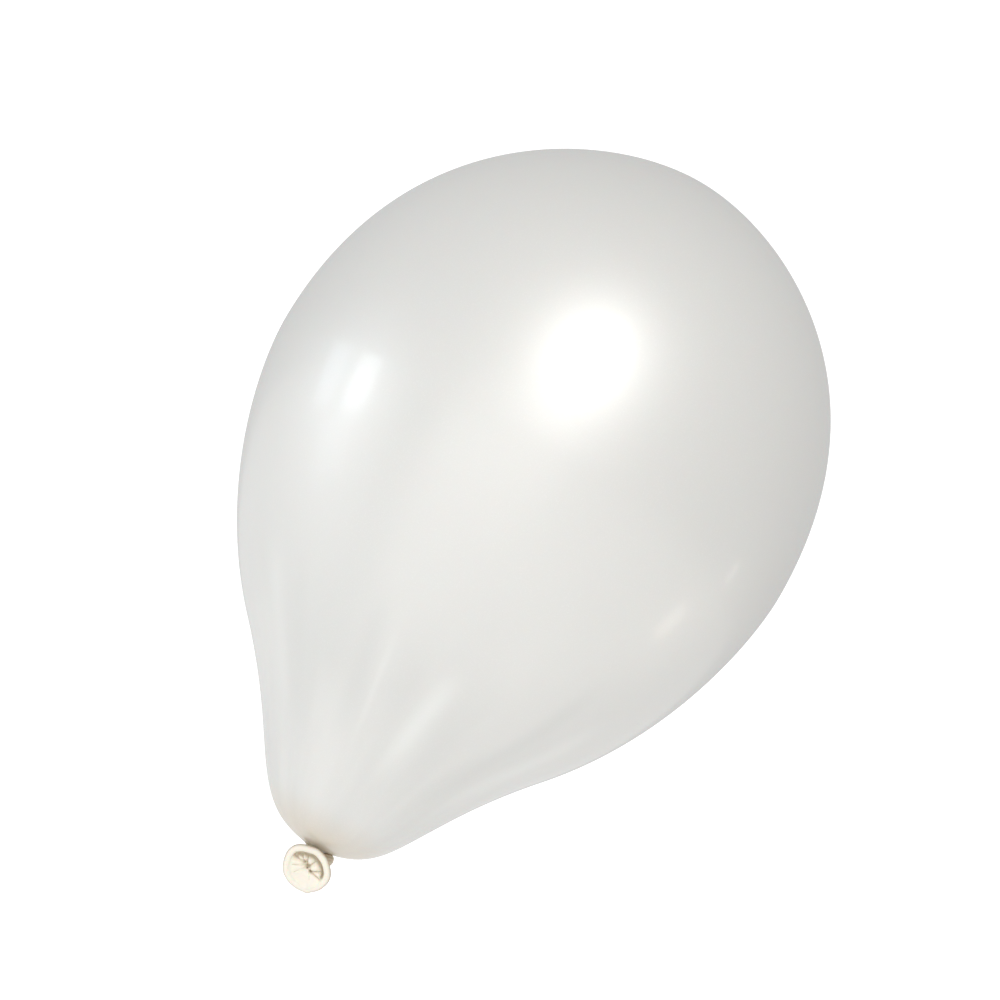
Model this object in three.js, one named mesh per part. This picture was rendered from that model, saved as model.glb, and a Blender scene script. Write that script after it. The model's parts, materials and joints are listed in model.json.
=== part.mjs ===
// Inflated latex party balloon, tied off by hand. Millimetres, +Z up, crown up and knot down.
// The balloon's long axis is Z. The origin is the tie point: the throat on that axis between
// the inflated envelope and the knot, where a ribbon goes round the neck.
// The whole balloon is one dipped film. Each of its working regions is a closed solid here.
import * as THREE from 'three';

// Envelope
const BELLY_RADIUS = 140; // widest ring, a 280 mm balloon
const BELLY_HEIGHT = 220.5; // of that ring above the tie point
const CROWN_HEIGHT = 380.8;
const FLARE_RADIUS = 83.5; // ring where the neck's flare turns into the belly
const FLARE_HEIGHT = 84;
const THROAT_RADIUS = 4.2; // hole in the film, round the gathered neck
const THROAT_BOTTOM = -0.5;
const FILM = 0.1; // wall of the solid, the real film is thinner still
const AROUND = 48; // facets round the envelope

// Gathered neck
const GATHER_RADIUS = 3.4;
const GATHER_TOP = 2.4;
const GATHER_BOTTOM = -0.5;
const PLEATS = 9;
const PLEAT_DEPTH = 0.3;

// Overhand knot: a wrap that leans up to the right and to the front, round a core
const WRAP_CENTRE = new THREE.Vector3(3.2, 1.2, -5.2);
const WRAP_RING = 6.4; // radius of the wrap's centreline, along X
const WRAP_SQUEEZE = 0.8; // the ring is this much narrower along Y
const WRAP_STRAND = 2.3;
const WRAP_LEAN_RIGHT = THREE.MathUtils.degToRad(-32);
const WRAP_LEAN_FRONT = THREE.MathUtils.degToRad(-16);
const CORE_STRAND = 1.8;

// Mouth: the tail that leaves the knot, its pleated membrane and the rolled lip
const TAIL_PIVOT = new THREE.Vector3(2.1, -7.6, -8.2); // the tail bends here
const TAIL_DROOP = THREE.MathUtils.degToRad(14); // of the tail below the horizontal
const TAIL_LENGTH = 5; // from the pivot to the lip's plane
const CORE_END = new THREE.Vector3(1.4, 2, -0.6); // from the pivot, clear of the tail's ball end
const LIP_OUTSIDE = 12.5; // outer radius of the rolled lip
const LIP_ROLL = 1.4; // radius of the roll itself
const MEMBRANE = 0.6; // wall of the membrane
const GAP = 0.3; // between pieces that touch

const COLOURS = { film: 0xe4e4de, gather: 0xe6dfd0, knot: 0xcfc3ab, mouth: 0xf6efdf, lip: 0xfaf4e6 };

// Outline point at a radius from an axis and a height along it.
function at(radius, height) {
  return new THREE.Vector2(radius, height);
}

function latexMesh(name, geometry, colour, roughness = 0.4) {
  const material = new THREE.MeshStandardMaterial({ color: colour, roughness, metalness: 0 });
  const mesh = new THREE.Mesh(geometry, material);
  mesh.name = name;
  return mesh;
}

// Solid of revolution about Z. The outline runs with the solid on its left.
function turned(outline, segments) {
  return new THREE.LatheGeometry(outline, segments).rotateX(Math.PI / 2);
}

// The film's outer outline, from the throat to the crown: a throat fillet, the rounded neck end
// and its concave flare, the belly and the crown.
function envelopeCurves() {
  const fillet = new THREE.QuadraticBezierCurve(
    at(THROAT_RADIUS, THROAT_BOTTOM), at(THROAT_RADIUS, 0.7), at(7, 1.2));
  const neckEnd = new THREE.CubicBezierCurve(
    at(7, 1.2), at(41, 7), at(37.3, 33.3), at(FLARE_RADIUS, FLARE_HEIGHT));
  const belly = new THREE.CubicBezierCurve(
    at(FLARE_RADIUS, FLARE_HEIGHT), at(128.7, 133.8), at(BELLY_RADIUS, 195.5),
    at(BELLY_RADIUS, BELLY_HEIGHT));
  const crown = new THREE.CubicBezierCurve(
    at(BELLY_RADIUS, BELLY_HEIGHT), at(BELLY_RADIUS, 337), at(49.6, CROWN_HEIGHT),
    at(0, CROWN_HEIGHT));
  return [[fillet, 3], [neckEnd, 11], [belly, 6], [crown, 9]];
}

// Point of the outline moved by a distance along the outline's inward normal.
function insetPoint(curve, t, distance) {
  const point = curve.getPoint(t);
  const tangent = curve.getTangent(t);
  return at(Math.max(point.x - distance * tangent.y, 0), point.y + distance * tangent.x);
}

function outlineAtInset(distance) {
  const points = [];
  for (const [curve, steps] of envelopeCurves()) {
    for (let step = points.length ? 1 : 0; step <= steps; step += 1) {
      points.push(insetPoint(curve, step / steps, distance));
    }
  }
  return points;
}

// Thin open shell: the inner outline down from the crown, then the outer one back up to it.
function envelope() {
  const inside = outlineAtInset(FILM).reverse();
  return latexMesh('envelope', turned([...inside, ...outlineAtInset(0)], AROUND), COLOURS.film);
}

// Fluted plug of gathered film that fills the throat and closes the air in.
function neckGather() {
  const outline = [];
  const samples = PLEATS * 4;
  for (let i = 0; i < samples; i += 1) {
    const angle = (i / samples) * 2 * Math.PI;
    const radius = GATHER_RADIUS - PLEAT_DEPTH * (0.5 + 0.5 * Math.cos(PLEATS * angle));
    outline.push(at(radius * Math.cos(angle), radius * Math.sin(angle)));
  }
  const depth = GATHER_TOP - GATHER_BOTTOM;
  const geometry = new THREE.ExtrudeGeometry(new THREE.Shape(outline), { depth, bevelEnabled: false });
  return latexMesh('neck_gather', geometry.translate(0, 0, GATHER_BOTTOM), COLOURS.gather);
}

// Round section of the given radius, as an outline for a lathe or an extrusion.
function circle(radius, sides, centreX = 0) {
  const points = [];
  for (let i = 0; i <= sides; i += 1) {
    const angle = (i / sides) * 2 * Math.PI;
    points.push(at(centreX + radius * Math.cos(angle), radius * Math.sin(angle)));
  }
  return points;
}

// The strand of neck film that goes once round the core.
function knotWrap() {
  const ring = turned(circle(WRAP_STRAND, 14, WRAP_RING), 28).scale(1, WRAP_SQUEEZE, 1);
  const mesh = latexMesh('knot_wrap', ring, COLOURS.knot, 0.5);
  mesh.rotation.set(WRAP_LEAN_FRONT, WRAP_LEAN_RIGHT, 0);
  mesh.position.copy(WRAP_CENTRE);
  return mesh;
}

// The strand that comes down from the neck, through the wrap and forward to the tail.
function knotCore() {
  const route = new THREE.CatmullRomCurve3([
    new THREE.Vector3(0, 0, GATHER_BOTTOM - 3 * GAP),
    new THREE.Vector3(0.3, 0.1, -2.4),
    WRAP_CENTRE.clone(),
    new THREE.Vector3(3.9, 0.2, -7.8),
    new THREE.Vector3(4.3, -2.8, -9.2),
    TAIL_PIVOT.clone().add(CORE_END),
  ]);
  const section = new THREE.Shape(circle(CORE_STRAND, 12).slice(0, -1));
  const geometry = new THREE.ExtrudeGeometry(section, { extrudePath: route, steps: 14 });
  return latexMesh('knot_core', geometry, COLOURS.knot, 0.5);
}

// Ball end at the pivot, tail strand, and the membrane that opens out to the lip.
function tailFunnel() {
  const rim = LIP_OUTSIDE - 2 * LIP_ROLL - GAP;
  const outline = [at(0, -CORE_STRAND)];
  for (let i = 1; i <= 4; i += 1) {
    const angle = (i / 4) * (Math.PI / 2);
    outline.push(at(CORE_STRAND * Math.sin(angle), -CORE_STRAND * Math.cos(angle)));
  }
  const flare = new THREE.QuadraticBezierCurve(
    at(CORE_STRAND, TAIL_LENGTH - 4), at(CORE_STRAND + 1, TAIL_LENGTH - 1.2),
    at(rim, TAIL_LENGTH - MEMBRANE));
  outline.push(...flare.getPoints(5), at(rim, TAIL_LENGTH));
  const dish = new THREE.QuadraticBezierCurve(
    at(rim, TAIL_LENGTH), at(CORE_STRAND + 2, TAIL_LENGTH - 0.4), at(0, TAIL_LENGTH - 1.4));
  outline.push(...dish.getPoints(4).slice(1));
  return latexMesh('tail_membrane', turned(outline, 28), COLOURS.mouth);
}

function lipRoll() {
  const ring = turned(circle(LIP_ROLL, 12, LIP_OUTSIDE - LIP_ROLL), 36);
  const mesh = latexMesh('rolled_lip', ring, COLOURS.lip);
  mesh.position.z = TAIL_LENGTH;
  return mesh;
}

// The mouth is built on its own axis and turned to leave the knot forwards, drooping a little.
function mouth() {
  const group = new THREE.Group();
  group.add(tailFunnel(), lipRoll());
  group.rotation.x = Math.PI / 2 + TAIL_DROOP;
  group.position.copy(TAIL_PIVOT);
  return group;
}

const balloon = new THREE.Group();
balloon.add(envelope(), neckGather(), knotWrap(), knotCore(), mouth());

export default balloon;
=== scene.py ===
"""A latex party balloon, tied off by hand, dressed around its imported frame.

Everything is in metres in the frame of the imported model: +Z runs from the knot to the crown,
the origin is the tie point and -Y is the side that the mouth faces.
"""

import json
import logging
import math
import random
from dataclasses import dataclass, field
from enum import Enum

import bpy
import numpy as np
from mathutils import Matrix, Vector


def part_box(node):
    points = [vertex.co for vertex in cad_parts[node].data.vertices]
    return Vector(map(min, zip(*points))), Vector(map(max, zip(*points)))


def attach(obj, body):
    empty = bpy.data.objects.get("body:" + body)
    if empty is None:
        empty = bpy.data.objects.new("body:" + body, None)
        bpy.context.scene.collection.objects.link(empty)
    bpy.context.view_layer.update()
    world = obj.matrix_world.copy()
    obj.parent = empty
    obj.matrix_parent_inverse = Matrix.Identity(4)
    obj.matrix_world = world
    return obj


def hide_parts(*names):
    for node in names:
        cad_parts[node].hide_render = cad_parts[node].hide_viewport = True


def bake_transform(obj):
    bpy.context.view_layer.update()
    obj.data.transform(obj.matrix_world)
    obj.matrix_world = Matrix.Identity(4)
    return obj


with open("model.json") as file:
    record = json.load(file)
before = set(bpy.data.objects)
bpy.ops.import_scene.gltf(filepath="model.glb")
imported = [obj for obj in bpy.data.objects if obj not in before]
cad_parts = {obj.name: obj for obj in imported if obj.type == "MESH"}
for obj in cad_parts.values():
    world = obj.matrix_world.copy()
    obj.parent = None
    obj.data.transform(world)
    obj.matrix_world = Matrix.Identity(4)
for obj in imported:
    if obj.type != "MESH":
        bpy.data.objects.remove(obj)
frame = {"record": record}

LOG = logging.getLogger("balloon")
MM = 0.001

Node = bpy.types.Node
Socket = bpy.types.NodeSocket
Value = float | int | bool | tuple | Socket
Colour = tuple[float, float, float]


class Body(Enum):
    """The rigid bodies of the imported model."""

    BALLOON = "balloon"
    KNOT = "knot"
    MOUTH = "mouth"


class Graph:
    """Adds nodes to one node tree, with their inputs fed by values or by other sockets."""

    def __init__(self, tree: bpy.types.NodeTree) -> None:
        """Keeps the tree.

        Args:
            tree: the geometry or shader tree that the nodes go into.
        """
        self.tree = tree

    def feed(self, socket: Socket, value: Value) -> None:
        """Links a socket to another one, or sets its value.

        Args:
            socket: the input to feed.
            value: an output socket, or a plain value.
        """
        if isinstance(value, bpy.types.NodeSocket):
            self.tree.links.new(value, socket)
        else:
            socket.default_value = value

    def node(self, kind: str, inputs: dict | None = None, **settings: object) -> Node:
        """Makes a node.

        Args:
            kind: the node's type name.
            inputs: input names or indices, with what feeds each.
            settings: properties of the node itself.

        Returns:
            The new node.
        """
        made = self.tree.nodes.new(kind)
        for name, value in settings.items():
            setattr(made, name, value)
        for key, value in (inputs or {}).items():
            self.feed(made.inputs[key], value)
        return made

    def math(self, operation: str, a: Value, b: Value = 0.0, c: Value = 0.0) -> Socket:
        """A Math node's result.

        Args:
            operation: the name of the operation.
            a: first operand.
            b: second operand.
            c: third operand.

        Returns:
            The node's output.
        """
        made = self.node("ShaderNodeMath", {0: a, 1: b, 2: c}, operation=operation)
        return made.outputs[0]

    def scaled(self, vector: Value, factor: Value) -> Socket:
        """A vector times a number."""
        made = self.node("ShaderNodeVectorMath", {0: vector, 3: factor}, operation="SCALE")
        return made.outputs[0]

    def split(self, vector: Socket) -> tuple[Socket, Socket, Socket]:
        """The three parts of a vector."""
        made = self.node("ShaderNodeSeparateXYZ", {0: vector})
        return tuple(made.outputs)

    def joined(self, x: Value, y: Value, z: Value) -> Socket:
        """A vector from its three parts."""
        return self.node("ShaderNodeCombineXYZ", {0: x, 1: y, 2: z}).outputs[0]

    def ramp(self, value: Value, low: Value, high: Value, start: Value = 0.0,
             end: Value = 1.0) -> Socket:
        """A smooth step from one value to another.

        Args:
            value: what is mapped.
            low: where the step starts.
            high: where the step ends.
            start: the result up to low.
            end: the result from high on.

        Returns:
            The mapped value.
        """
        made = self.node("ShaderNodeMapRange", {0: value, 1: low, 2: high, 3: start, 4: end},
                         interpolation_type="SMOOTHSTEP")
        return made.outputs[0]

    def noise(self, vector: Value, scale: Value, detail: float = 2.0,
              roughness: float = 0.5) -> Socket:
        """Smooth noise between 0 and 1, about 0.5.

        Args:
            vector: where the noise is read.
            scale: its frequency, in waves per metre.
            detail: number of octaves above the first.
            roughness: how strong the octaves are.

        Returns:
            The noise's factor.
        """
        made = self.node("ShaderNodeTexNoise", {"Vector": vector, "Scale": scale,
                                                "Detail": detail, "Roughness": roughness})
        return made.outputs[0]

    def mix(self, factor: Value, a: Value, b: Value) -> Socket:
        """A colour between two colours.

        Args:
            factor: 0 for the first colour, 1 for the second.
            a: first colour.
            b: second colour.

        Returns:
            The mixed colour.
        """
        made = self.node("ShaderNodeMix", {0: factor, 6: a, 7: b}, data_type="RGBA")
        return made.outputs[2]


class GeometryRule(Graph):
    """A geometry node group with named inputs, run once on an object to give a plain mesh."""

    def __init__(self, name: str) -> None:
        """Makes the group with its geometry input and output.

        Args:
            name: the group's name.
        """
        super().__init__(bpy.data.node_groups.new(name, "GeometryNodeTree"))
        self.interface = self.tree.interface
        self.interface.new_socket("Geometry", in_out="INPUT", socket_type="NodeSocketGeometry")
        self.interface.new_socket("Geometry", in_out="OUTPUT", socket_type="NodeSocketGeometry")
        self.entry = self.node("NodeGroupInput")
        self.values: dict[str, object] = {}

    def size(self, name: str, value: float) -> Socket:
        """Adds a named number to the group's inputs.

        Args:
            name: the input's name.
            value: the number that the modifier sets it to.

        Returns:
            The socket that carries it inside the group.
        """
        kind = "NodeSocketInt" if isinstance(value, int) else "NodeSocketFloat"
        item = self.interface.new_socket(name, in_out="INPUT", socket_type=kind)
        self.values[item.identifier] = value
        return self.entry.outputs[name]

    def finish(self, geometry: Socket, material: bpy.types.Material) -> None:
        """Ends the group: real geometry, smooth shading and the material.

        Args:
            geometry: the socket with the finished shape.
            material: what the shape is dressed in.
        """
        smooth = self.node("GeometryNodeSetShadeSmooth", {"Geometry": geometry})
        real = self.node("GeometryNodeRealizeInstances", {"Geometry": smooth.outputs[0]})
        dressed = self.node("GeometryNodeSetMaterial", {"Geometry": real.outputs[0],
                                                        "Material": material})
        self.node("NodeGroupOutput", {0: dressed.outputs[0]})

    def run(self, name: str, data: bpy.types.ID) -> bpy.types.Object:
        """Evaluates the group on some data and keeps the result as a mesh.

        Args:
            name: the piece's name.
            data: the mesh or curve that the group starts from.

        Returns:
            An object at the origin with the resulting mesh and no modifier.
        """
        source = bpy.data.objects.new(name + "_source", data)
        bpy.context.collection.objects.link(source)
        modifier = source.modifiers.new("rule", "NODES")
        modifier.node_group = self.tree
        for identifier, value in self.values.items():
            modifier[identifier] = value
        piece = frozen(source, name)
        bpy.data.objects.remove(source)
        return piece


def frozen(source: bpy.types.Object, name: str) -> bpy.types.Object:
    """Turns an object with modifiers into a new one with a plain mesh.

    Args:
        source: the object to evaluate.
        name: the new object's name.

    Returns:
        The new object, at the origin.
    """
    bpy.context.view_layer.update()
    graph = bpy.context.evaluated_depsgraph_get()
    mesh = bpy.data.meshes.new_from_object(source.evaluated_get(graph), depsgraph=graph)
    mesh.name = name
    piece = bpy.data.objects.new(name, mesh)
    bpy.context.collection.objects.link(piece)
    return piece


class Pattern(Graph):
    """A shader node group that puts out one mask or height over a surface."""

    def __init__(self, name: str, sizes: dict[str, float]) -> None:
        """Makes the group, its vector input and its output.

        Args:
            name: the group's name.
            sizes: the named number inputs, with their defaults.
        """
        super().__init__(bpy.data.node_groups.new(name, "ShaderNodeTree"))
        face = self.tree.interface
        face.new_socket("Vector", in_out="INPUT", socket_type="NodeSocketVector")
        for key, value in sizes.items():
            item = face.new_socket(key, in_out="INPUT", socket_type="NodeSocketFloat")
            item.default_value = value
        face.new_socket("Value", in_out="OUTPUT", socket_type="NodeSocketFloat")
        self.entry = self.node("NodeGroupInput").outputs

    def finish(self, value: Socket) -> bpy.types.NodeTree:
        """Ends the group.

        Args:
            value: the socket that the group puts out.

        Returns:
            The finished group.
        """
        self.node("NodeGroupOutput", {0: value})
        return self.tree


class Patterns:
    """The surface effects that the balloon's finishes share."""

    def __init__(self) -> None:
        """Builds each group once."""
        self.flecks = self.build_flecks()
        self.flow = self.build_flow()
        self.skin = self.build_skin()

    @staticmethod
    def build_flecks() -> bpy.types.NodeTree:
        """Mica flakes of the pearl pigment: a random brightness in each small cell."""
        rule = Pattern("pearl_flecks", {"Density": 2600.0, "Sparse": 0.75})
        cells = rule.node("ShaderNodeTexVoronoi",
                          {"Vector": rule.entry["Vector"], "Scale": rule.entry["Density"]})
        shade = rule.node("ShaderNodeSeparateColor", {0: cells.outputs["Color"]})
        return rule.finish(rule.ramp(shade.outputs[0], rule.entry["Sparse"], 1.0))

    @staticmethod
    def build_flow() -> bpy.types.NodeTree:
        """Streaks of the pigment where the wet film ran down the former: long soft waves."""
        rule = Pattern("dip_flow", {"Frequency": 2.2, "Stretch": 5.0})
        x, y, z = rule.split(rule.entry["Vector"])
        around = rule.node("ShaderNodeVectorMath", {0: rule.joined(x, y, 0.0)},
                           operation="NORMALIZE").outputs[0]
        rise = rule.joined(0.0, 0.0, rule.math("MULTIPLY", z, rule.entry["Stretch"]))
        drawn = rule.node("ShaderNodeVectorMath", {0: around, 1: rise}, operation="ADD")
        broad = rule.noise(drawn.outputs[0], rule.entry["Frequency"], 2.5, 0.5)
        return rule.finish(rule.ramp(broad, 0.3, 0.7))

    @staticmethod
    def build_skin() -> bpy.types.NodeTree:
        """The faint orange peel of dipped latex with a few finer pits."""
        rule = Pattern("latex_skin", {"Peel": 420.0, "Grain": 2400.0})
        peel = rule.noise(rule.entry["Vector"], rule.entry["Peel"], 1.0)
        grain = rule.noise(rule.entry["Vector"], rule.entry["Grain"], 3.0, 0.6)
        return rule.finish(rule.math("MULTIPLY_ADD", grain, 0.25, peel))


class Finish(Graph):
    """A material with one Principled shader, fed by patterns on object coordinates."""

    def __init__(self, name: str, constants: dict[str, object]) -> None:
        """Makes the material.

        Args:
            name: its name.
            constants: shader inputs that are the same all over.
        """
        self.material = bpy.data.materials.new(name)
        self.material.use_nodes = True
        super().__init__(self.material.node_tree)
        self.shader = self.tree.nodes["Principled BSDF"]
        for key, value in constants.items():
            self.shader.inputs[key].default_value = value
        self.place = self.node("ShaderNodeTexCoord").outputs["Object"]

    def pattern(self, group: bpy.types.NodeTree, **sizes: float) -> Socket:
        """Places a shared pattern.

        Args:
            group: the pattern's node group.
            sizes: its inputs for this finish.

        Returns:
            The pattern's value.
        """
        made = self.node("ShaderNodeGroup", node_tree=group)
        self.feed(made.inputs["Vector"], self.place)
        for key, value in sizes.items():
            self.feed(made.inputs[key.capitalize()], value)
        return made.outputs[0]

    def relief(self, height: Socket, distance: float, strength: float) -> None:
        """Feeds the shader's normal from a height.

        Args:
            height: the height pattern.
            distance: the depth of the relief, in metres.
            strength: how much of it shows.
        """
        bump = self.node("ShaderNodeBump", {"Height": height, "Distance": distance,
                                            "Strength": strength})
        self.feed(self.shader.inputs["Normal"], bump.outputs[0])


@dataclass(frozen=True)
class PearlFilm:
    """Stretched pearl white film: satin, with a thin gloss, warmer where it is left thick, with
    painted reflections and painted shade in light and dark streaks near the neck.
    """

    pearl: Colour = (0.775, 0.768, 0.738)
    # The cool tone serves both the dip-flow streaks and the painted shade of dark streaks; the
    # bright tone is the painted reflection of light streaks.
    flow_tone_and_streak_shade: Colour = (0.69, 0.69, 0.665)
    streak_highlight: Colour = (0.94, 0.95, 0.92)
    thick: Colour = (0.67, 0.59, 0.47)
    gathered: Colour = (0.72, 0.64, 0.51)
    thick_height: float = 24 * MM
    gathered_height: float = 3 * MM
    flow_heights: tuple[float, float] = (50 * MM, 190 * MM)
    flow_shares: tuple[float, float] = (0.6, 0.08)
    light_share: float = 0.5
    streak_shade_share: float = 0.8
    glint_share: float = 0.10
    roughness: float = 0.43

    def material(self, patterns: Patterns) -> bpy.types.Material:
        """Builds the finish.

        Args:
            patterns: the shared surface effects.

        Returns:
            The material.
        """
        finish = Finish("pearl_film", {
            "Metallic": 0.3, "Specular IOR Level": 0.5, "Coat Weight": 0.55,
            "Coat Roughness": 0.13, "Coat IOR": 1.5, "Sheen Weight": 0.08,
            "Sheen Roughness": 0.5, "Subsurface Weight": 0.12, "Subsurface Scale": 0.008,
        })
        height = finish.split(finish.place)[2]
        flow = finish.pattern(patterns.flow)
        flecks = finish.pattern(patterns.flecks)
        shown = finish.ramp(height, *self.flow_heights, *self.flow_shares)
        flowing = finish.math("MULTIPLY", flow, shown)
        film = finish.mix(flowing, self.pearl + (1,), self.flow_tone_and_streak_shade + (1,))
        # Painted streaks: the light ones are painted reflections, the dark ones painted shade.
        painted_streak = finish.node("ShaderNodeAttribute", attribute_name="painted_streak").outputs["Fac"]
        light = finish.math("MULTIPLY", finish.math("MAXIMUM", painted_streak, 0.0), self.light_share)
        below = finish.math("MAXIMUM", finish.math("MULTIPLY", painted_streak, -1.0), 0.0)
        streak_shade = finish.math("MULTIPLY", below, self.streak_shade_share)
        film = finish.mix(light, film, self.streak_highlight + (1,))
        film = finish.mix(streak_shade, film, self.flow_tone_and_streak_shade + (1,))
        thick = finish.ramp(height, 0.0, self.thick_height, 0.75, 0.0)
        film = finish.mix(thick, film, self.thick + (1,))
        gathered = finish.ramp(height, -1 * MM, self.gathered_height, 1.0, 0.0)
        film = finish.mix(gathered, film, self.gathered + (1,))
        glint = finish.math("MULTIPLY", flecks, self.glint_share)
        film = finish.mix(glint, film, (1.0, 1.0, 0.98, 1))
        finish.feed(finish.shader.inputs["Base Color"], film)
        rough = finish.math("MULTIPLY_ADD", flowing, 0.08, self.roughness)
        finish.feed(finish.shader.inputs["Roughness"], finish.math("ADD", rough, glint))
        finish.relief(finish.pattern(patterns.skin), 0.02 * MM, 0.25)
        return finish.material


@dataclass(frozen=True)
class ThickLatex:
    """Unstretched ivory latex of the knot and the mouth: less glossy, with painted shade in its
    folds and hollows and a painted dark band of shade on the lip's outer side.
    """

    name: str
    face: Colour = (0.93, 0.885, 0.775)
    # The fold tone serves both the random mottle and the painted shade in creases.
    mottle_and_fold_shade: Colour = (0.64, 0.55, 0.41)
    # The edge tone is the painted shade of the lip's outer band.
    rim_shade_colour: Colour = (0.36, 0.28, 0.18)
    mottle_share: float = 0.06
    crease_shade_share: float = 0.65
    rim_shade_share: float = 0.85
    roughness: float = 0.42

    def material(self, patterns: Patterns) -> bpy.types.Material:
        """Builds the finish.

        Args:
            patterns: the shared surface effects.

        Returns:
            The material.
        """
        finish = Finish(self.name, {
            "Specular IOR Level": 0.45, "Coat Weight": 0.15, "Coat Roughness": 0.3,
            "Subsurface Weight": 0.2, "Subsurface Scale": 0.0015,
        })
        skin = finish.pattern(patterns.skin, peel=900.0, grain=5200.0)
        mottle = finish.noise(finish.place, 260.0, 3.0)
        crease_shade = finish.node("ShaderNodeAttribute", attribute_name="crease_shade").outputs["Fac"]
        rim_shade = finish.node("ShaderNodeAttribute", attribute_name="rim_shade").outputs["Fac"]
        tone = finish.mix(finish.math("MULTIPLY", mottle, self.mottle_share), self.face + (1,),
                          self.mottle_and_fold_shade + (1,))
        # Painted shade in creases and hollows.
        tone = finish.mix(finish.math("MULTIPLY", crease_shade, self.crease_shade_share), tone,
                          self.mottle_and_fold_shade + (1,))
        # Painted shade: a dark band on the lip's outer side.
        tone = finish.mix(finish.math("MULTIPLY", rim_shade, self.rim_shade_share), tone, self.rim_shade_colour + (1,))
        finish.feed(finish.shader.inputs["Base Color"], tone)
        rough = finish.math("MULTIPLY_ADD", mottle, 0.12, self.roughness)
        finish.feed(finish.shader.inputs["Roughness"], rough)
        finish.relief(skin, 0.03 * MM, 0.35)
        return finish.material


@dataclass(frozen=True)
class Streak:
    """A lengthwise streak between two heights, painted on the film: a painted reflection where
    light and painted shade where dark.
    """

    azimuth: float
    width: float
    strength: float
    low: float = 52 * MM
    high: float = 112 * MM
    low_fade: tuple[float, float] = (30 * MM, 8 * MM)
    high_fade: tuple[float, float] = (12 * MM, 14 * MM)

    def strength_at(self, azimuth: np.ndarray, height: np.ndarray,
                    radius: np.ndarray) -> np.ndarray:
        """How strongly the streak marks each place.

        Args:
            azimuth: directions round the axis, in degrees, 0 in front and 90 on the right.
            height: heights, in metres.
            radius: distances from the axis, in metres.

        Returns:
            The streak's strength there, below zero for a dark one.
        """
        gap = np.radians((azimuth - self.azimuth + 180.0) % 360.0 - 180.0) * radius
        before, after = self.low_fade
        fade = smooth(height, self.low - before, self.low + after)
        before, after = self.high_fade
        fade = fade * (1.0 - smooth(height, self.high - before, self.high + after))
        return self.strength * fade * np.exp(-((gap / (0.5 * self.width)) ** 2))


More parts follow.
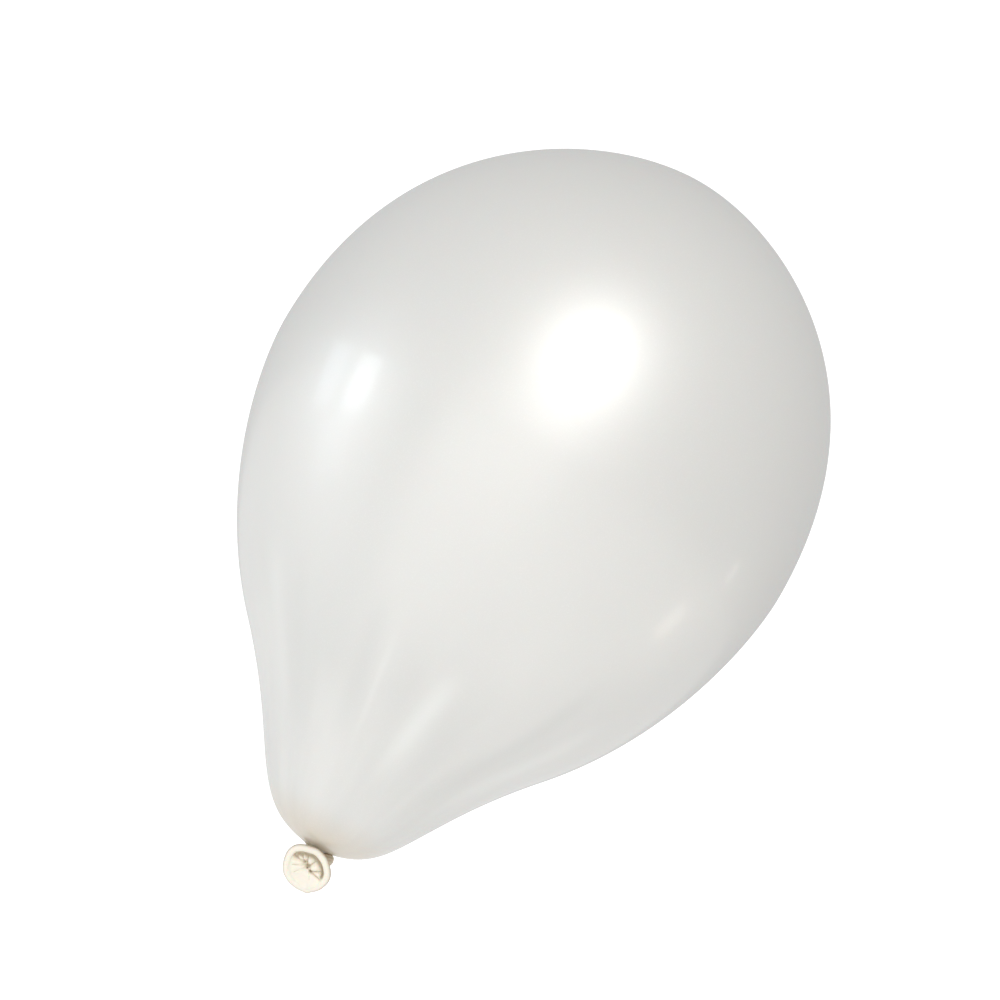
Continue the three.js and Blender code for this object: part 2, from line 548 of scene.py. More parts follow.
@dataclass
class Skin:
    """The inflated film, from the crown to the gathered neck inside the knot, as one surface."""

    material: bpy.types.Material
    flare_radius: float = 83.5 * MM
    flare_height: float = 84 * MM
    belly_height: float = 220.5 * MM
    neck_radius: float = 3.3 * MM
    neck_bottom: float = -5 * MM
    pleats: int = 15
    pleat_depth: float = 0.32 * MM
    pleat_reach: float = 5 * MM
    furrow_depth: float = 1.6 * MM
    streak_rise: float = 0.22 * MM
    seed: int = 7
    hidden_streaks: int = 11
    hidden_side: tuple[float, float] = (75.0, 290.0)
    furrow_top: float = 150 * MM
    bow: float = 1.5 * MM
    around: int = 360
    along: int = 220
    # The streaks: light ones are painted reflections, dark ones painted shade; the hidden side
    # gets more of them at random.
    streaks: tuple[Streak, ...] = (
        Streak(11, 12 * MM, 0.8, 66 * MM, 96 * MM), Streak(-9.3, 4 * MM, 0.4, 66 * MM, 100 * MM),
        Streak(1, 12 * MM, -0.45, 60 * MM, 100 * MM), Streak(-15.5, 12 * MM, -0.6, 66 * MM),
        Streak(44.5, 12 * MM, -0.75, 57 * MM, 125 * MM), Streak(58, 14 * MM, 0.35),
        Streak(-53, 13 * MM, 0.35, 66 * MM), Streak(-42, 10 * MM, -0.35, 66 * MM),
        Streak(-25, 30 * MM, -0.55, 80 * MM, 212 * MM),
    )
    belly_radius: float = field(init=False)
    crown_height: float = field(init=False)

    def __post_init__(self) -> None:
        """Takes the widest radius and the crown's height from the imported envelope."""
        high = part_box("envelope")[1]
        self.belly_radius = high[0]
        self.crown_height = high[2]

    def outline(self, rule: GeometryRule) -> Socket:
        """The film's outline in the XZ plane, as cubic stretches end to end.

        Args:
            rule: the group that the curves go into.

        Returns:
            The joined curves.
        """
        radius = rule.size("Belly Radius", self.belly_radius)
        belly = rule.size("Belly Height", self.belly_height)
        crown = rule.size("Crown Height", self.crown_height)
        flare = rule.size("Flare Radius", self.flare_radius)
        flare_z = rule.size("Flare Height", self.flare_height)
        neck = rule.size("Neck Radius", self.neck_radius)
        bottom = rule.size("Neck Bottom", self.neck_bottom)

        def at(x: Value, z: Value) -> Socket:
            """A point of the outline."""
            return rule.joined(x, 0.0, z)

        def less(value: Socket, millimetres: float) -> Socket:
            """A size less some millimetres."""
            return rule.math("SUBTRACT", value, millimetres * MM)

        stretches = [
            (at(0.0, bottom), at(less(neck, 1.2), bottom), at(neck, -3.4 * MM),
             at(neck, -1 * MM)),
            (at(neck, -1 * MM), at(neck, 0.2 * MM), at(less(neck, -1.6), 0.85 * MM),
             at(7 * MM, 1.2 * MM)),
            (at(7 * MM, 1.2 * MM), at(41 * MM, 7 * MM), at(less(flare, 46.2), less(flare_z, 50.7)),
             at(flare, flare_z)),
            (at(flare, flare_z), at(less(flare, -45.2), less(flare_z, -49.8)),
             at(radius, less(belly, 25)), at(radius, belly)),
            (at(radius, belly), at(radius, less(crown, 43.8)), at(49.6 * MM, crown),
             at(0.0, crown)),
        ]
        joined = rule.node("GeometryNodeJoinGeometry")
        for start, leave, arrive, end in reversed(stretches):
            curve = rule.node("GeometryNodeCurvePrimitiveBezierSegment",
                              {"Resolution": 96, "Start": start, "Start Handle": leave,
                               "End Handle": arrive, "End": end}, mode="POSITION")
            rule.tree.links.new(curve.outputs[0], joined.inputs[0])
        return joined.outputs[0]

    def build(self) -> bpy.types.Object:
        """Revolves the outline, gathers it in pleats at the neck and bows it slightly.

        Returns:
            The film as one closed mesh.
        """
        rule = GeometryRule("revolved_film")
        outline = self.outline(rule)
        grid = rule.node("GeometryNodeMeshGrid", {
            "Size X": 1.0, "Size Y": 1.0, "Vertices X": rule.size("Around", self.around + 1),
            "Vertices Y": rule.size("Along", self.along + 1)})
        u, v, _ = rule.split(rule.node("GeometryNodeInputPosition").outputs[0])
        share = rule.math("ADD", v, 0.5)
        spread = rule.math("MULTIPLY_ADD", share, 0.82, 0.18)
        sample = rule.node("GeometryNodeSampleCurve",
                           {"Curves": outline, "Factor": rule.math("MULTIPLY", share, spread)},
                           mode="FACTOR", use_all_curves=True)
        radius, _, height = rule.split(sample.outputs["Position"])
        angle = rule.math("MULTIPLY", u, math.tau)
        cosine, sine = rule.math("COSINE", angle), rule.math("SINE", angle)
        ring = rule.joined(rule.math("MULTIPLY", radius, cosine),
                           rule.math("MULTIPLY", radius, sine), height)
        placed = rule.node("GeometryNodeSetPosition", {"Geometry": grid.outputs[0],
                                                       "Position": ring})
        closed = rule.node("GeometryNodeMergeByDistance", {"Geometry": placed.outputs[0],
                                                           "Distance": 0.002 * MM})
        shaped = self.gathered(rule, closed.outputs[0])
        rule.finish(shaped, self.material)
        skin = rule.run("balloon_skin", bpy.data.meshes.new("seed"))
        self.draw_streaks(skin.data)
        return skin

    def draw_streaks(self, mesh: bpy.types.Mesh) -> None:
        """Paints the light and dark streaks near the neck, as painted reflections and painted
        shade, and raises the film under them a little.

        Args:
            mesh: the film.
        """
        chance = random.Random(self.seed)
        start, end = self.hidden_side
        step = (end - start) / self.hidden_streaks
        streaks = list(self.streaks)
        for turn in range(self.hidden_streaks):
            streaks.append(Streak(start + step * (turn + chance.random()),
                                  chance.uniform(2.5, 11.0) * MM, chance.uniform(-0.8, 0.9),
                                  chance.uniform(50, 64) * MM, chance.uniform(100, 125) * MM))
        place, facing = surface(mesh)
        radius = np.hypot(place[:, 0], place[:, 1])
        azimuth = np.degrees(np.arctan2(place[:, 0], -place[:, 1]))
        total = sum(painted_streak.strength_at(azimuth, place[:, 2], radius) for painted_streak in streaks)
        total = np.clip(total, -1.0, 1.0)
        place += facing * (total * self.streak_rise)[:, None]
        mesh.vertices.foreach_set("co", place.ravel())
        mesh.update()
        mark(mesh, "painted_streak", total)

    def gathered(self, rule: GeometryRule, geometry: Socket) -> Socket:
        """Draws pleats round the throat, and bows the long axis a little.

        Args:
            rule: the group.
            geometry: the revolved film.

        Returns:
            The moved film.
        """
        position = rule.node("GeometryNodeInputPosition").outputs[0]
        x, y, z = rule.split(position)
        angle = rule.math("ARCTAN2", y, x)
        count = rule.size("Pleats", float(self.pleats))
        drift = rule.noise(rule.joined(rule.math("COSINE", angle), rule.math("SINE", angle), 0.0),
                           1.6, 2.0)
        phase = rule.math("MULTIPLY_ADD", angle, count, rule.math("MULTIPLY", drift, 9.0))
        wave = rule.math("POWER", rule.math("ABSOLUTE", rule.math("SINE", rule.math(
            "MULTIPLY", phase, 0.5))), 0.6)
        radius = rule.math("SQRT", rule.math("ADD", rule.math("MULTIPLY", x, x),
                                             rule.math("MULTIPLY", y, y)))
        beyond = rule.math("MAXIMUM", rule.math("SUBTRACT", radius, self.neck_radius), 0.0)
        fade = rule.math("EXPONENT", rule.math("MULTIPLY", rule.math(
            "DIVIDE", beyond, rule.size("Pleat Reach", self.pleat_reach)), -1.0))
        low = rule.ramp(z, 40 * MM, 60 * MM, 1.0, 0.0)
        depth = rule.math("MULTIPLY", rule.size("Pleat Depth", self.pleat_depth), low)
        push = rule.math("MULTIPLY", rule.math("MULTIPLY", rule.math("SUBTRACT", wave, 0.6),
                                               fade), depth)
        ring = rule.joined(rule.math("COSINE", angle), rule.math("SINE", angle),
                           rule.math("MULTIPLY", z, 2.0))
        furrow = rule.math("SUBTRACT", rule.noise(ring, 2.6, 2.0, 0.55), 0.5)
        rise = rule.ramp(z, 2 * MM, 30 * MM)
        fall = rule.ramp(z, 30 * MM, rule.size("Furrow Top", self.furrow_top), 1.0, 0.0)
        reach = rule.math("MULTIPLY", rule.math("MULTIPLY", rise, fall),
                          rule.size("Furrow Depth", self.furrow_depth))
        push = rule.math("MULTIPLY_ADD", furrow, reach, push)
        along = rule.scaled(rule.node("GeometryNodeInputNormal").outputs[0], push)
        pleated = rule.node("GeometryNodeSetPosition", {"Geometry": geometry, "Offset": along})
        share = rule.math("DIVIDE", z, self.crown_height)
        lean = rule.math("MULTIPLY", rule.math("MULTIPLY", share, rule.math(
            "SUBTRACT", rule.math("MULTIPLY", share, 8.0), 6.0)), rule.size("Bow", self.bow))
        above = rule.ramp(z, 0.0, 30 * MM)
        bowed = rule.node("GeometryNodeSetPosition", {
            "Geometry": pleated.outputs[0],
            "Offset": rule.joined(rule.math("MULTIPLY", lean, above), 0.0, 0.0)})
        return bowed.outputs[0]

    def place(self) -> None:
        """Builds the film and hangs it on the frame, in place of the imported envelope and
        gathered neck.
        """
        skin = self.build()
        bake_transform(skin)
        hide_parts("envelope", "neck_gather")
        LOG.info("%s: %d faces", skin.name, len(skin.data.polygons))


@dataclass
class Knot:
    """The overhand knot: one strand of gathered neck, wrapped round itself and pulled tight."""

    material: bpy.types.Material
    tail_pivot: Vector
    strand: float = 2.35 * MM
    flutes: int = 10
    flute_depth: float = 0.13
    twist: float = 5.0
    swell: float = 0.16
    voxel: float = 0.17 * MM
    route: tuple[tuple[float, float, float, float], ...] = (
        (0, 0, 0.6, 1.0), (-0.2, 0.3, -2.6, 1.0), (0.6, 1.0, -6.0, 0.95),
        (4.4, 1.6, -8.0, 1.0), (7.1, 0.9, -4.8, 1.0), (9.3, -0.5, -1.0, 1.05),
        (5.6, -3.5, -2.0, 1.1), (0.9, -4.9, -2.8, 1.0), (-3.7, -2.6, -3.9, 1.1),
        (-4.4, 1.8, -4.3, 1.15), (-1.2, 5.2, -4.0, 1.1), (3.4, 4.7, -4.2, 1.0),
        (4.7, 0.6, -4.8, 0.9), (3.9, -3.9, -7.3, 0.95),
    )

    def path(self) -> bpy.types.Curve:
        """The strand's centreline and thickness, from inside the throat to the tail.

        Returns:
            A smooth curve through the route's points.
        """
        stops = [(Vector(point[:3]) * MM, point[3]) for point in self.route]
        stops.append((self.tail_pivot.copy(), 1.0))
        curve = bpy.data.curves.new("strand_path", "CURVE")
        curve.dimensions = "3D"
        spline = curve.splines.new("BEZIER")
        spline.bezier_points.add(len(stops) - 1)
        for knot, (point, thickness) in zip(spline.bezier_points, stops):
            knot.co = point
            knot.radius = thickness
            knot.handle_left_type = knot.handle_right_type = "AUTO"
        spline.resolution_u = 24
        return curve

    def strand_rule(self) -> GeometryRule:
        """Sweeps a fluted section along the path, swelling a little on the outer bends.

        Returns:
            The group, ready to run on the path.
        """
        rule = GeometryRule("fluted_strand")
        line = rule.node("GeometryNodeResampleCurve", {"Curve": rule.entry.outputs[0],
                                                       "Count": 260})
        share = rule.node("GeometryNodeSplineParameter").outputs["Factor"]
        lumps = rule.noise(rule.node("GeometryNodeInputPosition").outputs[0], 190.0, 2.0)
        swell = rule.math("MULTIPLY_ADD", rule.math("SUBTRACT", lumps, 0.5),
                          rule.size("Swell", self.swell * 4), 1.0)
        held = rule.node("GeometryNodeInputRadius").outputs[0]
        radius = rule.math("MULTIPLY", rule.math("MULTIPLY", swell, held),
                           rule.size("Strand", self.strand))
        turn = rule.math("MULTIPLY", share, rule.size("Twist", self.twist))
        tilted = rule.node("GeometryNodeSetCurveTilt", {"Curve": line.outputs[0], "Tilt": turn})
        section = rule.node("GeometryNodeCurvePrimitiveCircle", {"Resolution": 120,
                                                                 "Radius": 1.0})
        x, y, _ = rule.split(rule.node("GeometryNodeInputPosition").outputs[0])
        angle = rule.math("ARCTAN2", y, x)
        count = rule.size("Flutes", float(self.flutes))
        phase = rule.math("MULTIPLY", angle, rule.math("MULTIPLY", count, 0.5))
        ridge = rule.math("POWER", rule.math("ABSOLUTE", rule.math("SINE", phase)), 0.55)
        reach = rule.math("MULTIPLY_ADD", ridge, rule.size("Flute Depth", self.flute_depth),
                          1.0 - self.flute_depth)
        fluted = rule.node("GeometryNodeSetPosition", {
            "Geometry": section.outputs[0],
            "Position": rule.joined(rule.math("MULTIPLY", rule.math("COSINE", angle), reach),
                                    rule.math("MULTIPLY", rule.math("SINE", angle), reach),
                                    0.0)})
        scale = rule.node("GeometryNodeCurveToMesh", {
            "Curve": tilted.outputs[0], "Profile Curve": fluted.outputs[0],
            "Fill Caps": True, "Scale": radius})
        rule.finish(scale.outputs[0], self.material)
        return rule

    def build(self) -> bpy.types.Object:
        """Sweeps the strand and presses its passes together into one closed skin.

        Returns:
            The knot as one mesh.
        """
        swept = self.strand_rule().run("strand", self.path())
        remesh = swept.modifiers.new("press", "REMESH")
        remesh.mode = "VOXEL"
        remesh.voxel_size = self.voxel
        relax = swept.modifiers.new("relax", "SMOOTH")
        relax.factor = 0.5
        relax.iterations = 2
        knot = frozen(swept, "knot_strand")
        bpy.data.objects.remove(swept)
        knot.data.materials.clear()
        knot.data.materials.append(self.material)
        knot.data.shade_smooth()
        # Painted shade in the knot's creases.
        paint_crease_shade(knot.data, 0.12 * MM, 6)
        return knot

    def place(self) -> None:
        """Builds the knot and lets it ride on its body."""
        knot = self.build()
        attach(knot, Body.KNOT.value)
        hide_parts("knot_wrap", "knot_core")
        LOG.info("%s: %d faces", knot.name, len(knot.data.polygons))


@dataclass(frozen=True)
class Crease:
    """A fold line pressed into the mouth's membrane, from its deep end outwards."""

    start: tuple[float, float]
    end: tuple[float, float]
    depth: float
    width: float = 0.42

    def height(self, x: np.ndarray, y: np.ndarray) -> np.ndarray:
        """What the fold adds to the membrane's height, in millimetres.

        Args:
            x: places across the mouth, in millimetres.
            y: places up the mouth, in millimetres.

        Returns:
            The height at each place, below zero in the fold.
        """
        run_x, run_y = self.end[0] - self.start[0], self.end[1] - self.start[1]
        share = ((x - self.start[0]) * run_x + (y - self.start[1]) * run_y)
        share = np.clip(share / (run_x ** 2 + run_y ** 2), 0.0, 1.0)
        gap = np.hypot(x - self.start[0] - share * run_x, y - self.start[1] - share * run_y)
        taper = 1.0 - 0.6 * share
        return -self.depth * taper * np.exp(-((gap / (self.width * taper)) ** 2))


@dataclass(frozen=True)
class Fold:
    """A soft lump of film that bulges between two creases of the mouth's membrane."""

    centre: tuple[float, float]
    rise: float
    reach: tuple[float, float]
    turn: float = 0.0

    def height(self, x: np.ndarray, y: np.ndarray) -> np.ndarray:
        """What the lump adds to the membrane's height, in millimetres.

        Args:
            x: places across the mouth, in millimetres.
            y: places up the mouth, in millimetres.

        Returns:
            The height at each place.
        """
        cosine, sine = math.cos(self.turn), math.sin(self.turn)
        dx, dy = x - self.centre[0], y - self.centre[1]
        along = (dx * cosine + dy * sine) / self.reach[0]
        across = (dy * cosine - dx * sine) / self.reach[1]
        return self.rise * np.exp(-(np.hypot(along, across) ** 2.6))


def surface(mesh: bpy.types.Mesh) -> tuple[np.ndarray, np.ndarray]:
    """Reads where a mesh's vertices are and which way they face.

    Args:
        mesh: the mesh to read.

    Returns:
        The places and the normals, one row for each vertex.
    """
    rows = []
    for source, name in ((mesh.vertices, "co"), (mesh.vertex_normals, "vector")):
        flat = np.empty(len(mesh.vertices) * 3)
        source.foreach_get(name, flat)
        rows.append(flat.reshape(-1, 3))
    return rows[0], rows[1]


def mark(mesh: bpy.types.Mesh, name: str, values: np.ndarray) -> None:
    """Stores a number on each vertex as an attribute that finishes read.

    Args:
        mesh: the mesh to mark.
        name: the attribute's name.
        values: one number for each vertex.
    """
    made = mesh.attributes.new(name, "FLOAT", "POINT")
    made.data.foreach_set("value", values.astype(np.float32))


def smooth(value: np.ndarray, low: float, high: float) -> np.ndarray:
    """A smooth step from 0 at low to 1 at high."""
    share = np.clip((value - low) / (high - low), 0.0, 1.0)
    return share * share * (3.0 - 2.0 * share)


def cubic(points: tuple, count: int) -> np.ndarray:
    """Points along a cubic curve.

    Args:
        points: its start, two handles and end.
        count: how many points to give.

    Returns:
        The points, one row each.
    """
    share = np.linspace(0.0, 1.0, count)[:, None]
    back = 1.0 - share
    start, leave, arrive, end = (np.array(point, float) for point in points)
    return (back ** 3 * start + 3 * back ** 2 * share * leave
            + 3 * back * share ** 2 * arrive + share ** 3 * end)


def paint_crease_shade(mesh: bpy.types.Mesh, depth: float, rounds: int,
                 known: np.ndarray | float = 0.0) -> None:
    """Paints shade into folds: stores how deep in a fold each vertex sits, as the attribute that
    darkens the finish there.

    Args:
        mesh: the mesh to mark.
        depth: the hollow, in metres, that counts as fully creased.
        rounds: how far the mark spreads, in edges.
        known: painted shade from elsewhere, which holds where it is the deeper.
    """
    count = len(mesh.vertices)
    place, facing = surface(mesh)
    edges = np.empty(len(mesh.edges) * 2, int)
    mesh.edges.foreach_get("vertices", edges)
    first, second = edges.reshape(-1, 2).T
    degree = np.bincount(first, minlength=count) + np.bincount(second, minlength=count)
    spread = place.copy()
    for _ in range(rounds):
        total = np.zeros_like(spread)
        np.add.at(total, first, spread[second])
        np.add.at(total, second, spread[first])
        spread = total / np.maximum(degree, 1)[:, None]
    hollow = ((spread - place) * facing).sum(axis=1) / depth
    mark(mesh, "crease_shade", np.maximum(smooth(hollow, 0.0, 1.0), known))


@dataclass
class Mouth:
    """The tail's end: a membrane drawn in to a slit, inside the rolled lip."""

    material: bpy.types.Material
    tail_pivot: Vector
    droop: float = math.radians(14)
    reach: float = 5 * MM
    drop: float = 0.9 * MM
    half_width: float = 10.7
    half_height: float = 9.5
    tilt: float = math.radians(-15)
    corner: tuple[float, float, float] = (math.radians(150), 0.8, math.radians(20))
    nub: tuple[float, float, float] = (math.radians(-60), 0.45, math.radians(6))
    roll: float = 1.7
    # A painted dark band of shade on the lip's outer side: its middle and spread in the normal's
    # tilt.
    rim_shade_band: tuple[float, float] = (0.15, 0.5)
    strand: float = 2.3
    moat_depth: float = 1.95
    moat_place: float = 0.80
    flare_depth: float = 6.8
    tail_depth: float = 10.5
    segments: int = 288
    front_rings: int = 104
    flare_rings: int = 30
    tail_rings: int = 12
    back_pleats: int = 13
    creases: tuple[Crease, ...] = (
        Crease((-0.2, 1.3), (-2.1, 3.3), 1.6, 1.0), Crease((-0.2, 1.3), (2.6, -0.9), 1.6, 1.0),
        Crease((-1.6, 1.0), (-7.2, -1.7), 1.0, 0.8), Crease((-0.7, -0.1), (-4.8, -4.5), 0.7, 0.7),
        Crease((-2.4, 1.9), (-7.6, 2.6), 1.3, 0.75), Crease((2.5, -0.7), (8.0, -1.8), 1.4, 0.8),
        Crease((1.7, -1.0), (3.6, -4.2), 0.4, 0.4), Crease((-2.4, 2.3), (-5.3, 4.7), 1.3, 0.45),
        Crease((-1.4, 2.8), (-2.3, 5.6), 1.5, 0.5), Crease((0.6, 1.9), (2.1, 5.1), 1.3, 0.5),
        Crease((2.0, -0.4), (7.1, 1.9), 1.3, 0.5),
    )
    folds: tuple[Fold, ...] = (
        Fold((-5.7, 3.2), 1.2, (1.6, 0.75), 2.6), Fold((-3.7, 4.3), 1.3, (1.5, 0.75), 2.1),
        Fold((-0.4, 4.1), 1.9, (1.5, 1.7)), Fold((3.3, 2.1), 2.0, (2.2, 1.55), 0.6),
        Fold((6.4, 0.0), 1.3, (1.7, 0.8), 0.1), Fold((-5.2, 0.6), 0.8, (2.4, 1.3), 0.2),
        Fold((-4.4, -2.4), 0.45, (2.2, 1.5), 0.8), Fold((0.6, -4.4), 0.3, (3.4, 2.0)),
    )

    @property
    def axes(self) -> Matrix:
        """The lip's plane: X across, Y up the plane and Z out of the mouth, in the frame."""
        turn = Matrix.Rotation(math.pi / 2 + self.droop, 4, "X")
        shift = Matrix.Translation((0, -self.drop, self.reach))
        return Matrix.Translation(self.tail_pivot) @ turn @ shift

    def rim(self, angle: np.ndarray) -> np.ndarray:
        """How far the middle of the rolled lip lies from the mouth's middle.

        Args:
            angle: directions round the mouth, in radians from X.

        Returns:
            The distance in each direction, in millimetres.
        """
        turned = angle - self.tilt
        radius = 1.0 / np.hypot(np.cos(turned) / self.half_width,
                                np.sin(turned) / self.half_height)
        for at, rise, width in (self.corner, self.nub):
            gap = (angle - at + math.pi) % math.tau - math.pi
            radius += rise * np.exp(-((gap / width) ** 2))
        return radius + 0.10 * np.sin(5 * angle + 1.0) + 0.05 * np.sin(9 * angle)

    def front(self, share: np.ndarray, x: np.ndarray, y: np.ndarray) -> np.ndarray:
        """The height of the membrane's front, in millimetres from the lip's plane.

        Args:
            share: how far out each place is, 0 in the slit and 1 in the lip's middle.
            x: places across the mouth.
            y: places up the mouth.

        Returns:
            The height at each place.
        """
        upper = smooth(y + 0.2 * x, -1.8, 2.2)
        height = -0.2 - 0.8 * np.exp(-((share / 0.3) ** 2)) - 0.9 * upper * smooth(share, 0.1, 0.4)
        height += (1.0 - upper) * 1.6 * np.clip((share - 0.45) / 0.5, 0.0, 1.0) ** 2
        leaning = (y - 0.6 * x) / np.maximum(np.hypot(x, y), 1e-6)
        wide = 0.11 + 0.07 * leaning
        inward = share - self.moat_place + 0.3 * wide
        height -= upper * self.moat_depth * np.exp(-((inward / wide) ** 2))
        for feature in (*self.creases, *self.folds):
            height += feature.height(x, y) * (1.0 - smooth(share, 0.72, 0.92))
        inner = smooth(share, 0.0, 0.06)
        return height * inner + (1.0 - inner) * height.min() * 0.9

    def rings(self) -> tuple[np.ndarray, np.ndarray]:
        """All rings of the membrane, from the slit out to the lip and back along the tail.

        Returns:
            The points, as rings of points in millimetres, and the painted shade of each, 0 to 1,
            darker the deeper it is sunk.
        """
        angle = np.linspace(0.0, math.tau, self.segments, endpoint=False)[None, :]
        share = np.linspace(0.0, 1.0, self.front_rings)[1:, None]
        rim = self.rim(angle)
        x, y = share * rim * np.cos(angle), share * rim * np.sin(angle)
        height = self.front(share, x, y)
        front = np.stack([x, y, height * (1.0 - smooth(share, 0.93, 1.0))], axis=-1)
        flare = cubic(((1.0, 0.0), (1.0, -5.2), (0.4, -5.0), (0.0, -self.flare_depth)),
                      self.flare_rings)[1:]
        tail = np.linspace(-self.flare_depth, -self.tail_depth, self.tail_rings)[1:]
        wide = np.r_[flare[:, 0], np.zeros(len(tail))][:, None]
        depth = np.r_[flare[:, 1], tail][:, None]
        pleat = np.abs(np.sin(0.5 * self.back_pleats * angle + 0.8 * np.sin(3 * angle))) ** 0.6
        radius = self.strand + (rim - self.strand) * wide + 0.26 * (1.0 - wide) * (pleat - 0.6)
        centre = self.drop / MM * (1.0 - wide)
        back = np.stack([radius * np.cos(angle), radius * np.sin(angle) + centre,
                         depth + 0.8 * wide * (1.0 - wide) * (pleat - 0.6)], axis=-1)
        # Painted shade: the deeper the membrane sinks, the darker it is painted.
        hollow_shade = smooth(-height, 0.35, 2.6) * (1.0 - smooth(share, 0.9, 0.97))
        return np.concatenate([front, back]), np.concatenate([hollow_shade, np.zeros(back.shape[:2])])

    def membrane(self) -> bpy.types.Object:
        """Builds the membrane and the tail behind it as one closed skin.

        Returns:
            The piece, in place.
        """
        rings, hollow_shade = self.rings()
        count, around = rings.shape[:2]
        slit = (0.0, 0.0, float(rings[0, :, 2].mean()))
        stop = (0.0, 0.0, float(rings[-1, 0, 2]))
        points = np.vstack([rings.reshape(-1, 3), slit, stop]) * MM
        step = np.arange(around)
        ahead = (step + 1) % around
        faces = [(count * around, a, b) for a, b in zip(step.tolist(), ahead.tolist())]
        for ring in range(count - 1):
            near, far = ring * around, (ring + 1) * around
            faces += zip((near + step).tolist(), (far + step).tolist(), (far + ahead).tolist(),
                         (near + ahead).tolist())
        last = (count - 1) * around
        faces += [(count * around + 1, last + b, last + a)
                  for a, b in zip(step.tolist(), ahead.tolist())]
        mesh = bpy.data.meshes.new("mouth_membrane")
        mesh.from_pydata(points.tolist(), [], faces)
        mesh.transform(self.axes)
        mesh.materials.append(self.material)
        mesh.shade_smooth()
        # Painted shade in the membrane's creases and hollows.
        paint_crease_shade(mesh, 0.10 * MM, 7, np.r_[hollow_shade.ravel(), 1.0, 0.0])
        piece = bpy.data.objects.new("mouth_membrane", mesh)
        bpy.context.collection.objects.link(piece)
        return piece

    def lip(self) -> bpy.types.Object:
        """Sweeps the rolled lip round the mouth, with the small waves and nub of a hand-cut roll.

        Returns:
            The piece, in place.
        """
        rule = GeometryRule("rolled_lip")
        around = rule.scaled(rule.node("GeometryNodeInputPosition").outputs[0], 1.0 / MM)
        lumps = rule.math("MULTIPLY_ADD", rule.noise(around, 0.35, 2.0), 0.22, 0.89)
        thick = rule.math("MULTIPLY_ADD", rule.split(around)[1], 0.006, lumps)
        scale = rule.math("MULTIPLY", thick, rule.size("Roll", self.roll * MM))
        section = rule.node("GeometryNodeCurvePrimitiveCircle",
                            {"Resolution": rule.size("Section", 40), "Radius": 1.0})
        swept = rule.node("GeometryNodeCurveToMesh", {
            "Curve": rule.entry.outputs[0], "Profile Curve": section.outputs[0], "Scale": scale})
        rule.finish(swept.outputs[0], self.material)
        piece = rule.run("lip_roll", self.lip_line())
        # Painted shade along the lip's outer side.
        self.paint_rim_shade(piece.data)
        piece.data.transform(self.axes)
        return piece

    def paint_rim_shade(self, mesh: bpy.types.Mesh) -> None:
        """Paints shade on the outside of the rolled lip: a dark band round its outer side.

        Args:
            mesh: the lip, flat in its own plane.
        """
        place, facing = surface(mesh)
        outward = (place[:, :2] * facing[:, :2]).sum(axis=1) / np.hypot(place[:, 0], place[:, 1])
        middle, spread = self.rim_shade_band
        band = np.exp(-(((facing[:, 2] - middle) / spread) ** 2)) * smooth(outward, 0.2, 0.6)
        mark(mesh, "rim_shade", band)

    def lip_line(self) -> bpy.types.Curve:
        """The closed line that the lip is rolled round, a little out of flat.

        Returns:
            The curve, in the lip's own plane.
        """
        angle = np.linspace(0.0, math.tau, self.segments, endpoint=False)
        radius = self.rim(angle)
        rise = 0.35 * np.sin(2 * angle + 0.6) + 0.15 * np.sin(3 * angle)
        curve = bpy.data.curves.new("lip_line", "CURVE")
        curve.dimensions = "3D"
        spline = curve.splines.new("POLY")
        spline.points.add(self.segments - 1)
        spline.use_cyclic_u = True
        for point, turn, reach, high in zip(spline.points, angle, radius, rise):
            spot = Vector((reach * math.cos(turn), reach * math.sin(turn), high)) * MM
            point.co = (*spot, 1.0)
        return curve

    def place(self) -> None:
        """Builds the mouth: the tail bends out of the knot, and the lip rides on the mouth."""
        membrane = self.membrane()
        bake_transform(membrane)
        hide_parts("tail_membrane")
        lip = self.lip()
        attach(lip, Body.MOUTH.value)
        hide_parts("rolled_lip")
        for piece in (membrane, lip):
            LOG.info("%s: %d faces", piece.name, len(piece.data.polygons))


@dataclass(frozen=True)
class Lamp:
    """One soft light: a lit panel that faces a point of the balloon."""

    name: str
    aim: tuple[float, float, float]
    azimuth: float
    elevation: float
    distance: float
    size: tuple[float, float]
    watts: float
    colour: Colour = (1.0, 1.0, 1.0)
    shape: str = "RECTANGLE"

    def place(self) -> None:
        """Hangs the lamp. Azimuth 0 is in front of the balloon and 90 on its right."""
        light = bpy.data.lights.new(self.name, "AREA")
        light.shape = self.shape
        light.size, light.size_y = self.size
        light.energy = self.watts
        light.color = self.colour
        across, up = math.radians(self.azimuth), math.radians(self.elevation)
        toward = Vector((math.sin(across) * math.cos(up), -math.cos(across) * math.cos(up),
                         math.sin(up)))
        lamp = bpy.data.objects.new(self.name, light)
        turn = toward.to_track_quat("Z", "Y").to_matrix().to_4x4()
        lamp.matrix_world = Matrix.Translation(Vector(self.aim) + toward * self.distance) @ turn
        lamp.visible_camera = False
        bpy.context.collection.objects.link(lamp)


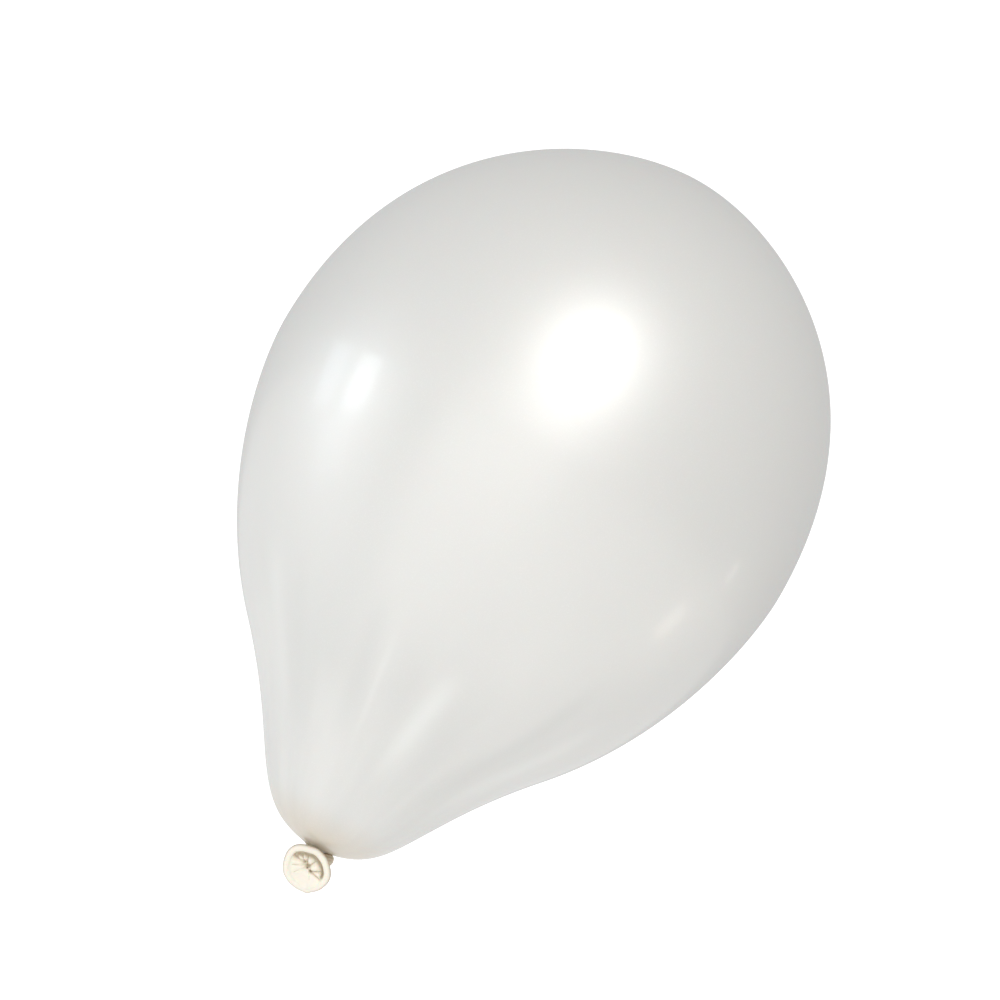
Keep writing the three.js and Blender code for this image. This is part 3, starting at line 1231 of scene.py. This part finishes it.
@dataclass(frozen=True)
class Studio:
    """White floor, white surroundings, soft lamps and the camera."""

    target: tuple[float, float, float] = (-4.7 * MM, 0.0, 194.7 * MM)
    distance: float = 2.742
    elevation: float = math.radians(-5)
    roll: float = math.radians(29.57)
    lens: float = 200.0
    floor_height: float = -0.55
    floor_half: float = 8.0
    floor_glow: float = 0.40
    surround: float = 0.565
    backdrop: float = 1.2
    lamps: tuple[Lamp, ...] = (
        Lamp("key_softbox", (0, -0.13, 0.281), 0, 30.5, 1.3, (0.72, 0.82), 7.6, shape="ELLIPSE"),
        Lamp("front_fill", (0, 0, 0.2), -13, -15, 2.2, (2.2, 2.4), 5.8),
        Lamp("window_pane", (-0.097, -0.100, 0.213), -80, -6, 1.3, (0.28, 0.37), 1.4,
             (0.86, 0.93, 1.0)),
        Lamp("window_side_pane", (-0.097, -0.100, 0.213), -99, -5, 1.3, (0.24, 0.36), 0.55,
             (0.74, 0.86, 1.0)),
        Lamp("window_sill", (-0.09, -0.09, 0.15), -86, -32, 1.6, (0.5, 1.1), 1.65,
             (0.82, 0.90, 1.0)),
        Lamp("warm_lamp", (0.1, -0.095, 0.189), 97, -16, 1.2, (0.16, 0.16), 0.2,
             (1.0, 0.9, 0.78)),
        Lamp("side_strip", (0.108, -0.09, 0.209), 107, 0, 1.2, (0.05, 0.16), 0.07,
             (1.0, 0.97, 0.9)),
    )

    def place(self) -> None:
        """Sets up everything round the balloon."""
        self.place_camera()
        self.place_floor()
        self.place_surround()
        for lamp in self.lamps:
            lamp.place()
        bpy.context.scene.view_settings.view_transform = "Standard"

    def place_camera(self) -> None:
        """Puts the camera low in front, turned so that the long axis leans to the right."""
        toward = Vector((0, -math.cos(self.elevation), math.sin(self.elevation)))
        turn = toward.to_track_quat("Z", "Y").to_matrix().to_4x4()
        camera = bpy.data.objects.new("camera", bpy.data.cameras.new("camera"))
        camera.data.lens = self.lens
        spot = Matrix.Translation(Vector(self.target) + toward * self.distance)
        camera.matrix_world = spot @ turn @ Matrix.Rotation(self.roll, 4, "Z")
        bpy.context.collection.objects.link(camera)
        bpy.context.scene.camera = camera

    def place_floor(self) -> None:
        """Lays a wide pale floor that reads as plain white."""
        half, low = self.floor_half, self.floor_height
        mesh = bpy.data.meshes.new("floor")
        mesh.from_pydata([(-half, -half, low), (half, -half, low), (half, half, low),
                          (-half, half, low)], [], [(0, 1, 2, 3)])
        floor = bpy.data.objects.new("floor", mesh)
        bpy.context.collection.objects.link(floor)
        white = Finish("pale_floor", {"Base Color": (0.8, 0.8, 0.8, 1.0), "Roughness": 0.9,
                                      "Emission Color": (1.0, 1.0, 1.0, 1.0)})
        seen = white.node("ShaderNodeLightPath").outputs["Is Camera Ray"]
        glow = white.math("MULTIPLY_ADD", seen, self.backdrop - self.floor_glow, self.floor_glow)
        white.feed(white.shader.inputs["Emission Strength"], glow)
        mesh.materials.append(white.material)

    def place_surround(self) -> None:
        """Makes the surroundings white to the eye and grey in reflections."""
        world = bpy.data.worlds.new("surround")
        world.use_nodes = True
        bpy.context.scene.world = world
        graph = Graph(world.node_tree)
        backdrop = world.node_tree.nodes["Background"]
        seen = graph.node("ShaderNodeLightPath").outputs["Is Camera Ray"]
        grey, white = self.surround, self.backdrop
        shade = graph.mix(seen, (grey, grey, grey, 1.0), (white, white, white, 1.0))
        graph.feed(backdrop.inputs["Color"], shade)
        backdrop.inputs["Strength"].default_value = 1.0


def tail_pivot() -> Vector:
    """Where the tail bends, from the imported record's joint."""
    joints = {joint["name"]: joint for joint in frame["record"]["behaviour"]["joints"]}
    return Vector(joints["tail_bend"]["pos_m"])


def main() -> None:
    """Sets up the studio, then builds the balloon piece by piece."""
    logging.basicConfig(level=logging.INFO, format="%(name)s: %(message)s")
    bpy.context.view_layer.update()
    Studio().place()
    patterns = Patterns()
    latex = ThickLatex("mouth_latex").material(patterns)
    # The knot's face is darker than the mouth's: partly the deeper tone of thick latex, partly
    # painted shade from the balloon above it.
    knot_latex = ThickLatex("knot_latex", face=(0.58, 0.50, 0.37)).material(patterns)
    pivot = tail_pivot()
    Skin(PearlFilm().material(patterns)).place()
    Knot(knot_latex, pivot).place()
    Mouth(latex, pivot).place()


if __name__ == "__main__":
    main()
